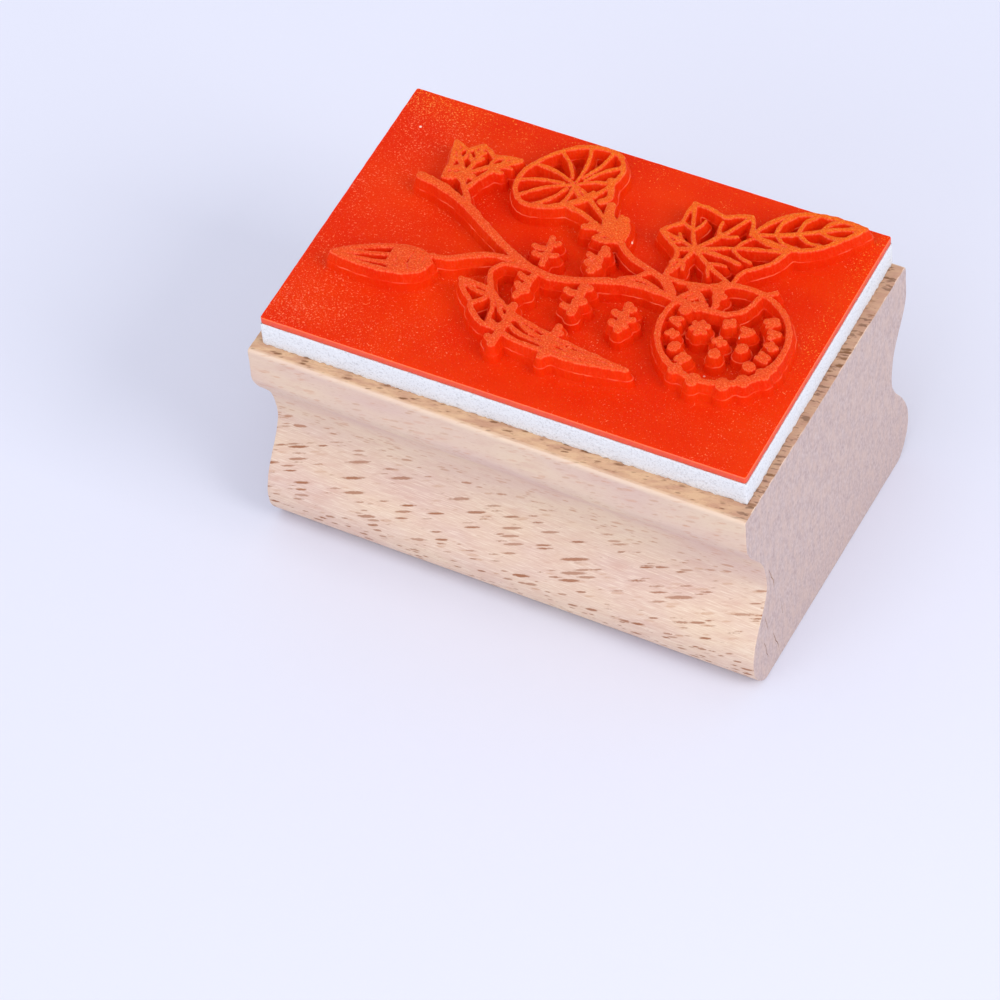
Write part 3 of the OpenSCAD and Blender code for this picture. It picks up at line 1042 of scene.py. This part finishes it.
cloud = clouds(mm.outputs["Vector"], (0.07, 0.2, 0.2), 3.0)
ground = add(
    tree, "Mix",
    {"Factor": add(tree, "MapRange", [cloud, 0.35, 0.65]), "A": colour("D8BAAC"), "B": colour("E0C6AE")},
    data_type="RGBA",
)
blush = clouds(fibres.outputs["Vector"], (0.25, 0.9, 0.9), 3.0)
ground = add(
    tree, "Mix",
    {"Factor": add(tree, "MapRange", [blush, 0.52, 0.72, 0.0, 0.35]), "A": ground, "B": colour("CFA593")},
    data_type="RGBA",
)
cutter = clouds(mm.outputs["Vector"], (0.5, 11.0, 11.0), 2.0, 0.6)
lined = add(
    tree, "Mix",
    {
        "Factor": add(
            tree, "Math",
            [
                add(tree, "MapRange", [cutter, 0.52, 0.66]),
                add(tree, "MapRange", [lower_part, 0.0, 1.0, 0.1, 0.42]),
            ],
            operation="MULTIPLY",
        ),
        "A": ground,
        "B": colour("F4E6D4"),
    },
    data_type="RGBA",
)
dark_lines = add(
    tree, "Math",
    [
        add(tree, "MapRange", [cutter, 0.46, 0.34]),
        add(tree, "MapRange", [lower_part, 0.0, 1.0, 0.05, 0.24]),
    ],
    operation="MULTIPLY",
)
lined = add(tree, "Mix", {"Factor": dark_lines, "A": lined, "B": colour("C69C84")}, data_type="RGBA")
fibre_noise = clouds(fibres.outputs["Vector"], (0.7, 5.0, 5.0), 3.0, 0.6)
lined = add(
    tree, "Mix",
    {
        "Factor": add(tree, "MapRange", [fibre_noise, 0.55, 0.75, 0.0, 0.3]),
        "A": lined,
        "B": colour("C89F84"),
    },
    data_type="RGBA",
)
# the flat top's darker golden tan: partly its own finish, partly painted shade from the foam above it
wide = clouds(fibres.outputs["Vector"], (0.12, 1.3, 1.3), 3.0, 0.6)
tan_wood = add(
    tree, "Mix",
    {"Factor": add(tree, "MapRange", [wide, 0.4, 0.62]), "A": colour("D6B08C"), "B": colour("C2967A")},
    data_type="RGBA",
)
tan_wood = add(
    tree, "Mix",
    {
        "Factor": add(tree, "MapRange", [fibre_noise, 0.56, 0.74, 0.0, 0.45]),
        "A": tan_wood,
        "B": colour("9A6E4C"),
    },
    data_type="RGBA",
)
# open pores near the sawn end hold more dirt
end_strip = add(tree, "MapRange", [xyz.outputs["X"], 26.5, 29.0, 0.0, 0.55])
tan_wood = add(tree, "Mix", {"Factor": end_strip, "A": tan_wood, "B": colour("B58A76")}, data_type="RGBA")
saw_marks = clouds(fibres.outputs["Vector"], (0.4, 1.9, 1.9), 2.0, 0.6)
tan_wood = add(
    tree, "Mix",
    {
        "Factor": add(
            tree, "Math",
            [add(tree, "MapRange", [saw_marks, 0.56, 0.6]), end_strip],
            operation="MULTIPLY",
        ),
        "A": tan_wood,
        "B": colour("4E3018"),
    },
    data_type="RGBA",
)
# painted highlight: a pale line along the rounded long edges of the top, where they turn to the light
painted_arris_highlight = add(
    tree, "Math",
    [add(tree, "MapRange", [side_y, 19.6, 19.75]), add(tree, "MapRange", [xyz.outputs["Z"], 28.3, 28.6])],
    operation="MULTIPLY",
)
coloured = add(tree, "Mix", {"Factor": ledge, "A": lined, "B": tan_wood}, data_type="RGBA")
coloured = add(
    tree, "Mix",
    {
        "Factor": add(tree, "Math", [painted_arris_highlight, 0.3], operation="MULTIPLY"),
        "A": coloured,
        "B": colour("ECD6BC"),
    },
    data_type="RGBA",
)
coloured = add(
    tree, "Mix",
    {
        "Factor": add(
            tree, "Math",
            [pores, add(tree, "MapRange", [ledge, 0.0, 1.0, 0.15, 0.55])],
            operation="MULTIPLY",
        ),
        "A": coloured,
        "B": add(
            tree, "Mix",
            {"Factor": ledge, "A": colour("A8765A"), "B": colour("6F4B2E")},
            data_type="RGBA",
        ),
    },
    data_type="RGBA",
)
dash_colour = add(
    tree, "Mix",
    {
        "Factor": ledge,
        "A": add(
            tree, "Mix",
            {"Factor": lower_part, "A": colour("CC9270"), "B": colour("9C6240")},
            data_type="RGBA",
        ),
        "B": colour("80583A"),
    },
    data_type="RGBA",
)
coloured = add(
    tree, "Mix",
    {
        "Factor": add(tree, "Math", [faint_dashes, 0.45], operation="MULTIPLY"),
        "A": coloured,
        "B": add(
            tree, "Mix",
            {"Factor": ledge, "A": colour("C08E6C"), "B": colour("8A6040")},
            data_type="RGBA",
        ),
    },
    data_type="RGBA",
)
long_faces = add(
    tree, "Mix",
    {
        "Factor": add(tree, "Math", [dashes, clear_lower], operation="MULTIPLY"),
        "A": coloured,
        "B": dash_colour,
    },
    data_type="RGBA",
)

fine_mottle = clouds(mm.outputs["Vector"], (2.8, 3.2, 2.0), 2.0, 0.6)
rays = clouds(mm.outputs["Vector"], (0.6, 1.1, 0.45), 3.0, 0.65)
end_colour = add(
    tree, "Mix",
    {
        "Factor": add(tree, "MapRange", [fine_mottle, 0.3, 0.7]),
        "A": colour("B49C98"),
        "B": colour("CDBAB6"),
    },
    data_type="RGBA",
)
end_colour = add(
    tree, "Mix",
    {
        "Factor": add(tree, "MapRange", [rays, 0.42, 0.62, 0.0, 0.5]),
        "A": end_colour,
        "B": colour("D3B9AC"),
    },
    data_type="RGBA",
)
sideways = add(tree, "Math", {0: normal.outputs["X"]}, operation="ABSOLUTE").outputs[0]
wood_colour = add(
    tree, "Mix",
    {"Factor": add(tree, "MapRange", [sideways, 0.75, 0.9]), "A": long_faces, "B": end_colour},
    data_type="RGBA",
)
tree.links.new(wood_colour.outputs["Result"], shader.inputs["Base Color"])
shader.inputs["Roughness"].default_value = 0.62
shader.inputs["IOR"].default_value = 1.5
shader.inputs["Specular IOR Level"].default_value = 0.25
bump = add(
    tree, "Bump",
    {
        "Height": add(
            tree, "Math",
            [add(tree, "Math", [cutter, lower_part], operation="MULTIPLY"), fine_mottle],
            operation="ADD",
        ),
        "Strength": 0.2,
        "Distance": 0.0001,
    },
)
tree.links.new(bump.outputs["Normal"], shader.inputs["Normal"])
give(beech_block, beech)

# %% [markdown]
# ### Cushion foam
# White polyethylene foam with cells of about 0.2 mm. It scatters light inside, which makes it
# look evenly bright, and its cut sides show a faint grey peppering of open cells.

# %% Foam material
foam, tree, shader = new_material("white_cushion_foam")
place = add(tree, "TexCoord")
mm = add(tree, "Mapping", {"Vector": place.outputs["Object"], "Scale": (1000, 1000, 1000)})
cells = add(tree, "TexVoronoi", {"Vector": mm.outputs["Vector"], "Scale": 3.0})
pepper = add(tree, "TexNoise", {"Vector": mm.outputs["Vector"], "Scale": 4.5, "Detail": 3.0})
pitted = add(
    tree, "MapRange",
    {"Value": pepper.outputs["Fac"], "From Min": 0.52, "From Max": 0.7, "To Min": 0.0, "To Max": 0.45},
)
foam_colour = add(
    tree, "Mix",
    {"Factor": pitted.outputs[0], "A": colour("E4E6EA"), "B": colour("A6A6AA")},
    data_type="RGBA",
)
tree.links.new(foam_colour.outputs["Result"], shader.inputs["Base Color"])
shader.inputs["Roughness"].default_value = 0.85
shader.inputs["Specular IOR Level"].default_value = 0.2
bump = add(tree, "Bump", {"Height": cells.outputs["Distance"], "Strength": 0.5, "Distance": 0.0001})
tree.links.new(bump.outputs["Normal"], shader.inputs["Normal"])
give(foam_pad, foam)

# %% [markdown]
# ### Adhesive film
# Clear acrylic adhesive on a thin carrier: a dull, slightly yellow line where its edge shows.

# %% Film material
film_tape, tree, shader = new_material("acrylic_adhesive_film")
place = add(tree, "TexCoord")
dust = add(tree, "TexNoise", {"Vector": place.outputs["Object"], "Scale": 900.0, "Detail": 2.0})
tape_colour = add(
    tree, "Mix",
    {"Factor": dust.outputs["Fac"], "A": colour("CFC6B4"), "B": colour("8E867A")},
    data_type="RGBA",
)
tree.links.new(tape_colour.outputs["Result"], shader.inputs["Base Color"])
shader.inputs["Roughness"].default_value = 0.5
for piece in (lower_film, upper_film):
    give(piece, film_tape)

# %% [markdown]
# ### Die rubber
# A soft orange-red rubber made for engraving. Light enters it a little way, so thin edges glow.
# The laser leaves a fine matt grain on the web and upright streaks on the walls. The printing
# face carries dried ink: paler, grainy, and more yellow towards the far side, and stray specks of
# it lie on the web, mostly near the two ends. Light is also painted on: highlights along the web's
# top edge, round the upper edges of the lines and on the step, and lighter cut sides of the web.

# %% Rubber material
rubber, tree, shader = new_material("engraved_orange_rubber")
place = add(tree, "TexCoord")
mm = add(tree, "Mapping", {"Vector": place.outputs["Object"], "Scale": (1000, 1000, 1000)})
xyz = add(tree, "SeparateXYZ", {"Vector": mm.outputs["Vector"]})
normal = add(tree, "SeparateXYZ", {"Vector": place.outputs["Normal"]})
height = add(tree, "Math", [xyz.outputs["Z"], WEB_TOP], operation="SUBTRACT")
body = add(
    tree, "Mix",
    {
        "Factor": add(tree, "MapRange", [clouds(mm.outputs["Vector"], (0.12, 0.12, 0.12)), 0.35, 0.65]),
        "A": colour("E22A02"),
        "B": colour("E83604"),
    },
    data_type="RGBA",
)
grain = clouds(mm.outputs["Vector"], (5.0, 5.0, 5.0), 3.0, 0.7)
raised = add(tree, "MapRange", [height, 0.3, 1.4])
streaks = clouds(mm.outputs["Vector"], (4.0, 4.0, 0.4), 3.0, 0.6)
body = add(
    tree, "Mix",
    {
        "Factor": add(
            tree, "Math",
            [raised, add(tree, "MapRange", [streaks, 0.5, 0.7, 0.0, 0.22])],
            operation="MULTIPLY",
        ),
        "A": body,
        "B": colour("EE5A34"),
    },
    data_type="RGBA",
)
# painted highlight: a pale broken line on the small step half-way down each wall
step_line = add(
    tree, "Math",
    [add(tree, "MapRange", [height, 1.17, 1.19]), add(tree, "MapRange", [height, 1.27, 1.25])],
    operation="MULTIPLY",
)
painted_step_highlight = add(
    tree, "Math",
    [
        step_line,
        add(tree, "MapRange", [clouds(mm.outputs["Vector"], (0.5, 0.5, 0.5)), 0.45, 0.65, 0.0, 0.4]),
    ],
    operation="MULTIPLY",
)
body = add(tree, "Mix", {"Factor": painted_step_highlight, "A": body, "B": colour("FF8A66")}, data_type="RGBA")
left_end = add(tree, "MapRange", [xyz.outputs["X"], -8.0, -28.0])
right_end = add(
    tree, "Math",
    [
        add(tree, "MapRange", [xyz.outputs["X"], 25.4, 26.6]),
        add(tree, "MapRange", [xyz.outputs["Y"], -7.0, -1.0]),
    ],
    operation="MULTIPLY",
)
crowd = add(
    tree, "Math",
    [
        add(tree, "Math", [left_end, 0.06], operation="MULTIPLY"),
        add(tree, "Math", [right_end, 0.022], operation="MULTIPLY"),
    ],
    operation="MAXIMUM",
)
patches = clouds(mm.outputs["Vector"], (0.16, 0.16, 0.16), 2.0)
crowd = add(tree, "Math", [crowd, add(tree, "MapRange", [patches, 0.4, 0.7, 0.0, 0.045])], operation="ADD")
speck_noise = clouds(mm.outputs["Vector"], (4.6, 4.6, 4.6), 1.0, 0.4)
dust = clouds(mm.outputs["Vector"], (8.5, 8.5, 8.5), 1.0, 0.4)
speck = add(
    tree, "Math",
    [
        add(tree, "MapRange", [add(tree, "Math", [speck_noise, crowd], operation="ADD"), 0.71, 0.76]),
        add(
            tree, "Math",
            [add(tree, "MapRange", [add(tree, "Math", [dust, crowd], operation="ADD"), 0.7, 0.76]), 0.6],
            operation="MULTIPLY",
        ),
    ],
    operation="MAXIMUM",
)
speck_colour = add(
    tree, "Mix",
    {
        "Factor": add(
            tree, "Math",
            [right_end, add(tree, "MapRange", [xyz.outputs["Y"], 14.0, 18.0])],
            operation="MAXIMUM",
        ),
        "A": colour("FF9468"),
        "B": colour("FFB050"),
    },
    data_type="RGBA",
)
body = add(
    tree, "Mix",
    {
        "Factor": add(
            tree, "Math",
            [
                add(
                    tree, "Math",
                    [speck, add(tree, "MapRange", [height, 0.1, 0.5, 0.5, 0.08])],
                    operation="MULTIPLY",
                ),
                add(tree, "MapRange", [patches, 0.35, 0.6, 0.6, 1.0]),
            ],
            operation="MULTIPLY",
        ),
        "A": body,
        "B": speck_colour,
    },
    data_type="RGBA",
)
# painted light: the web's cut sides are made lighter and pinker, standing in for the front light and sky
# reflected off them
painted_side_light = add(
    tree, "Math",
    [
        add(tree, "MapRange", [height, -0.06, -0.1]),
        add(tree, "MapRange", [normal.outputs["Z"], 0.6, 0.4]),
    ],
    operation="MULTIPLY",
)
body = add(
    tree, "Mix",
    {
        "Factor": add(tree, "Math", [painted_side_light, 0.85], operation="MULTIPLY"),
        "A": body,
        "B": colour("F0604A"),
    },
    data_type="RGBA",
)
# painted highlight: a lighter line along the web's rounded top edge
rim = add(
    tree, "Math",
    [add(tree, "MapRange", [height, -0.004, -0.02]), add(tree, "MapRange", [height, -0.16, -0.11])],
    operation="MULTIPLY",
)
body = add(
    tree, "Mix",
    {"Factor": add(tree, "Math", [rim, 0.8], operation="MULTIPLY"), "A": body, "B": colour("FF8058")},
    data_type="RGBA",
)
glint_cell = add(tree, "TexVoronoi", {"Vector": mm.outputs["Vector"], "Scale": 0.16}, distance="EUCLIDEAN")
body = add(
    tree, "Mix",
    {
        "Factor": add(tree, "MapRange", [glint_cell.outputs["Distance"], 0.035, 0.02]),
        "A": body,
        "B": colour("FFE0C8"),
    },
    data_type="RGBA",
)
far_side = add(tree, "MapRange", [xyz.outputs["Y"], 2.0, 14.0])
ink = add(tree, "Mix", {"Factor": far_side, "A": colour("E85626"), "B": colour("EA7022")}, data_type="RGBA")
tops = add(tree, "MapRange", [height, RELIEF - 0.17, RELIEF - 0.06])
powder = clouds(mm.outputs["Vector"], (5.5, 5.5, 5.5), 3.0, 0.75)
ink = add(
    tree, "Mix",
    {
        "Factor": add(tree, "MapRange", [powder, 0.54, 0.66, 0.0, 0.65]),
        "A": ink,
        "B": add(
            tree, "Mix",
            {"Factor": far_side, "A": colour("FF9C66"), "B": colour("FFAE4C")},
            data_type="RGBA",
        ),
    },
    data_type="RGBA",
)
ink = add(
    tree, "Mix",
    {"Factor": add(tree, "MapRange", [powder, 0.47, 0.37, 0.0, 0.5]), "A": ink, "B": colour("B83A0C")},
    data_type="RGBA",
)
inked = add(
    tree, "Math",
    [tops, add(tree, "MapRange", [grain, 0.36, 0.56, 0.25, 0.95])],
    operation="MULTIPLY",
)
rubber_colour = add(tree, "Mix", {"Factor": inked, "A": body, "B": ink}, data_type="RGBA")
# painted highlight: a lighter band round the upper edges of the lines, just below the inked tops
painted_top_edge_light = add(
    tree, "Math",
    [
        add(tree, "MapRange", [height, RELIEF - 0.3, RELIEF - 0.16]),
        add(tree, "MapRange", [height, RELIEF - 0.04, RELIEF - 0.1]),
    ],
    operation="MULTIPLY",
)
rubber_colour = add(
    tree, "Mix",
    {
        "Factor": add(
            tree, "Math",
            [painted_top_edge_light, add(tree, "MapRange", [streaks, 0.4, 0.62, 0.15, 0.75])],
            operation="MULTIPLY",
        ),
        "A": rubber_colour,
        "B": colour("FF7A50"),
    },
    data_type="RGBA",
)
tree.links.new(rubber_colour.outputs["Result"], shader.inputs["Base Color"])
shader.inputs["Roughness"].default_value = 0.5
shader.inputs["IOR"].default_value = 1.52
shader.inputs["Specular IOR Level"].default_value = 0.05
shader.inputs["Subsurface Weight"].default_value = 0.4
shader.inputs["Subsurface Radius"].default_value = (1.0, 0.22, 0.03)
shader.inputs["Subsurface Scale"].default_value = 0.0014
bump = add(
    tree, "Bump",
    {"Height": add(tree, "Math", [streaks, grain], operation="ADD"), "Strength": 0.7, "Distance": 0.0001},
)
tree.links.new(bump.outputs["Normal"], shader.inputs["Normal"])
give(rubber_sheet, rubber)
